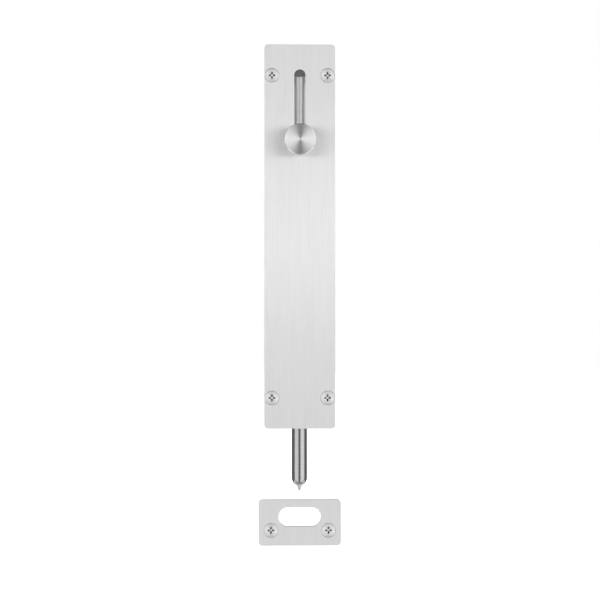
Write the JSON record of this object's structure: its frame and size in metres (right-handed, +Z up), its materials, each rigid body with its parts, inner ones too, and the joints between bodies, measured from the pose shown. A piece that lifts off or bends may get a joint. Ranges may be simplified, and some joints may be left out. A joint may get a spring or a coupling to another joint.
{
  "type": "flush bolt",
  "caption": "Door flush bolt: a flat steel plate with a knob that slides a round rod up and down behind it, with a folded back channel and a slotted strike plate.",
  "frame": {"origin": "middle of the face plate's back, the face that seats on the door", "axes": "+Z up along the rod, +X to the right seen from the front, +Y into the door"},
  "size_m": [0.043, 0.0362, 0.261],
  "materials": {
    "satin_steel": "satin stainless steel with a fine lengthwise grain",
    "bright_steel": "smooth ground stainless steel",
    "turned_steel": "fine turned stainless steel with round tool marks",
    "screw_steel": "plain stainless steel",
    "zinc_steel": "bright zinc plate",
    "spring_steel": "oiled spring steel",
    "black_acetal": "moulded, matt black",
    "white_nylon": "natural nylon"
  },
  "bodies": {
    "case": {"face_plate": "satin_steel", "back_channel": "zinc_steel", "upper_guide": "black_acetal", "lower_guide": "black_acetal", "guide_screw_1": "zinc_steel", "guide_screw_2": "zinc_steel", "guide_screw_3": "zinc_steel", "guide_screw_4": "zinc_steel", "weld_stud_1": "zinc_steel", "weld_stud_2": "zinc_steel", "weld_stud_3": "zinc_steel", "weld_stud_4": "zinc_steel", "foot_washer_1": "zinc_steel", "foot_washer_2": "zinc_steel", "foot_washer_3": "zinc_steel", "foot_washer_4": "zinc_steel", "foot_nut_1": "zinc_steel", "foot_nut_2": "zinc_steel", "foot_nut_3": "zinc_steel", "foot_nut_4": "zinc_steel", "friction_spring": "spring_steel", "spring_rivet": "zinc_steel", "plate_screw_1": "screw_steel", "plate_screw_2": "screw_steel", "plate_screw_3": "screw_steel", "plate_screw_4": "screw_steel", "strike_plate": "satin_steel", "strike_screw_1": "screw_steel", "strike_screw_2": "screw_steel"},
    "bolt": {"bolt_rod": "bright_steel", "knob_spindle": "bright_steel", "knob": "turned_steel", "glide_washer": "white_nylon"}
  },
  "joints": [
    {"name": "bolt_slide", "type": "slide", "parent": "case", "child": "bolt", "axis": [0, 0, 1], "range_m": [0, 0.034]}
  ]
}
